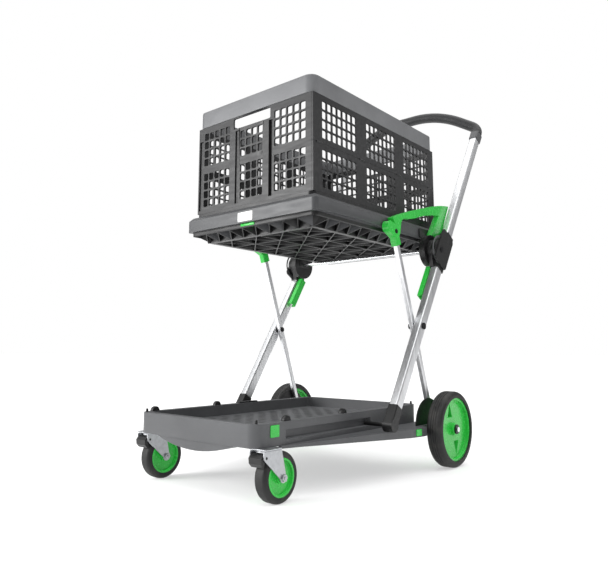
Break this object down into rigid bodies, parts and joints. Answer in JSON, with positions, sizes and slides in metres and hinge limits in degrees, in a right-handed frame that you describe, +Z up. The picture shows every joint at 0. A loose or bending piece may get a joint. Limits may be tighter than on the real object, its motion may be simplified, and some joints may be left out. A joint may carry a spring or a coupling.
{
  "type": "folding shopping cart",
  "caption": "Two-level folding cart on two castors and two rear wheels, with a scissor frame, a tilting bow handle and a lift-off grid-walled crate.",
  "frame": {"origin": "on the floor under the middle of the cart's overall box", "axes": "+Z up, -Y forwards to the castors, +Y back to the handle, +X across to the cart's left"},
  "size_m": [0.557, 0.9133, 1.04],
  "materials": {
    "base_plastic": "fine moulded texture",
    "deck_plastic": "fine moulded texture",
    "rim_plastic": "satin moulded",
    "crate_plastic": "satin moulded",
    "zinc_steel": "zinc plated pressing",
    "green_plastic": "gloss moulded",
    "tyre_rubber": "matt rubber",
    "anodised_tube": "satin anodised extrusion",
    "bright_rod": "bright drawn bar",
    "black_bolts": "black coated",
    "grip_rubber": "soft-touch moulded",
    "cap_plastic": "satin moulded",
    "black_plastic": "moulded nylon"
  },
  "bodies": {
    "base": {"base_tray": "base_plastic", "side_inserts": "green_plastic", "rear_axle": "bright_rod", "axle_caps": "black_plastic", "leg_ear_left": "black_plastic", "leg_ear_right": "black_plastic", "castor_plate_left": "zinc_steel", "castor_plate_right": "zinc_steel"},
    "castor_left": {"castor_fork_left": "zinc_steel", "castor_axle_left": "zinc_steel"},
    "castor_wheel_left": {"castor_hub_left": "green_plastic", "castor_tyre_left": "tyre_rubber"},
    "pedal_left": {"brake_pedal_left": "black_plastic"},
    "rear_wheel_left": {"rear_hub_left": "green_plastic", "rear_tyre_left": "tyre_rubber"},
    "lever_left": {"release_lever_left": "green_plastic"},
    "castor_right": {"castor_fork_right": "zinc_steel", "castor_axle_right": "zinc_steel"},
    "castor_wheel_right": {"castor_hub_right": "green_plastic", "castor_tyre_right": "tyre_rubber"},
    "pedal_right": {"brake_pedal_right": "black_plastic"},
    "rear_wheel_right": {"rear_hub_right": "green_plastic", "rear_tyre_right": "tyre_rubber"},
    "lever_right": {"release_lever_right": "green_plastic"},
    "legs": {"leg_bolts": "black_bolts", "leg_left": "anodised_tube", "leg_right": "anodised_tube", "leg_block_left": "green_plastic", "leg_block_right": "green_plastic"},
    "tubes": {"lower_tube_left": "anodised_tube", "lower_tube_right": "anodised_tube", "foot_socket_left": "black_plastic", "foot_socket_right": "black_plastic", "joint_housing_left": "black_plastic", "joint_housing_right": "black_plastic"},
    "deck": {"deck": "deck_plastic", "cross_rod": "bright_rod", "joint_disc_left": "black_plastic", "joint_disc_right": "black_plastic", "side_arm_left": "green_plastic", "side_arm_right": "green_plastic"},
    "latch": {"deck_latch": "green_plastic"},
    "handle": {"handle_grip": "grip_rubber", "handle_joint_left": "black_plastic", "handle_joint_right": "black_plastic", "upper_tube_left": "anodised_tube", "upper_tube_right": "anodised_tube", "grip_cap_left": "cap_plastic", "grip_cap_right": "cap_plastic"},
    "crate": {"crate_floor": "crate_plastic", "crate_rim": "rim_plastic", "crate_side_left_lower": "crate_plastic", "crate_side_left_upper": "crate_plastic", "crate_side_right_lower": "crate_plastic", "crate_side_right_upper": "crate_plastic"},
    "crate_front": {"crate_end_front": "crate_plastic"},
    "crate_rear": {"crate_end_rear": "crate_plastic"}
  },
  "joints": [
    {"name": "leg_fold", "type": "hinge", "parent": "base", "child": "legs", "pos_m": [0, 0.12557, 0.112], "axis": [1, 0, 0], "range_deg": [0, 57.5]},
    {"name": "tube_fold", "type": "hinge", "parent": "legs", "child": "tubes", "pos_m": [0, 0.04643, 0.3375], "axis": [1, 0, 0], "range_deg": [-104.14, 0]},
    {"name": "deck_level", "type": "hinge", "parent": "tubes", "child": "deck", "pos_m": [0, 0.14402, 0.535], "axis": [1, 0, 0], "range_deg": [0, 51.47]},
    {"name": "handle_fold", "type": "hinge", "parent": "tubes", "child": "handle", "pos_m": [0, 0.14402, 0.535], "axis": [-1, 0, 0], "range_deg": [-75, 0]},
    {"name": "crate_lift", "type": "slide", "parent": "deck", "child": "crate", "axis": [0, 0, 1], "range_m": [0, 0.35]},
    {"name": "crate_front_fold", "type": "hinge", "parent": "crate", "child": "crate_front", "pos_m": [0, -0.29557, 0.8327], "axis": [1, 0, 0], "range_deg": [0, 85]},
    {"name": "crate_rear_fold", "type": "hinge", "parent": "crate", "child": "crate_rear", "pos_m": [0, 0.23242, 0.8327], "axis": [-1, 0, 0], "range_deg": [0, 85]},
    {"name": "latch_press", "type": "slide", "parent": "deck", "child": "latch", "axis": [0, 1, 0], "range_m": [0, 0.004], "stiffness_N_per_m": 600, "springref_m": -0.002},
    {"name": "castor_swivel_left", "type": "hinge", "parent": "base", "child": "castor_left", "pos_m": [0.172, -0.42557, 0.1], "axis": [0, 0, 1], "continuous": true},
    {"name": "castor_roll_left", "type": "hinge", "parent": "castor_left", "child": "castor_wheel_left", "pos_m": [0.172, -0.39658, 0.0475], "axis": [1, 0, 0], "continuous": true},
    {"name": "brake_left", "type": "hinge", "parent": "castor_left", "child": "pedal_left", "pos_m": [0.172, -0.44257, 0.088], "axis": [1, 0, 0], "range_deg": [0, 14]},
    {"name": "rear_roll_left", "type": "hinge", "parent": "base", "child": "rear_wheel_left", "pos_m": [0.2565, 0.14442, 0.09], "axis": [1, 0, 0], "continuous": true},
    {"name": "castor_swivel_right", "type": "hinge", "parent": "base", "child": "castor_right", "pos_m": [-0.172, -0.42557, 0.1], "axis": [0, 0, 1], "continuous": true},
    {"name": "castor_roll_right", "type": "hinge", "parent": "castor_right", "child": "castor_wheel_right", "pos_m": [-0.172, -0.39658, 0.0475], "axis": [1, 0, 0], "continuous": true},
    {"name": "brake_right", "type": "hinge", "parent": "castor_right", "child": "pedal_right", "pos_m": [-0.172, -0.44257, 0.088], "axis": [1, 0, 0], "range_deg": [0, 14]},
    {"name": "rear_roll_right", "type": "hinge", "parent": "base", "child": "rear_wheel_right", "pos_m": [-0.2565, 0.14442, 0.09], "axis": [1, 0, 0], "continuous": true},
    {"name": "release_left", "type": "hinge", "parent": "tubes", "child": "lever_left", "pos_m": [0.2138, 0.14108, 0.48326], "axis": [-1, 0, 0], "range_deg": [0, 10], "stiffness_Nm_per_rad": 0.8, "springref_deg": -11.46},
    {"name": "release_right", "type": "hinge", "parent": "tubes", "child": "lever_right", "pos_m": [-0.2138, 0.14108, 0.48326], "axis": [-1, 0, 0], "range_deg": [0, 10], "stiffness_Nm_per_rad": 0.8, "springref_deg": -11.46}
  ],
  "couplings": [
    {"joint": "tube_fold", "follows": "leg_fold", "ratio": -1.8059},
    {"joint": "deck_level", "follows": "leg_fold", "ratio": 0.88986}
  ]
}
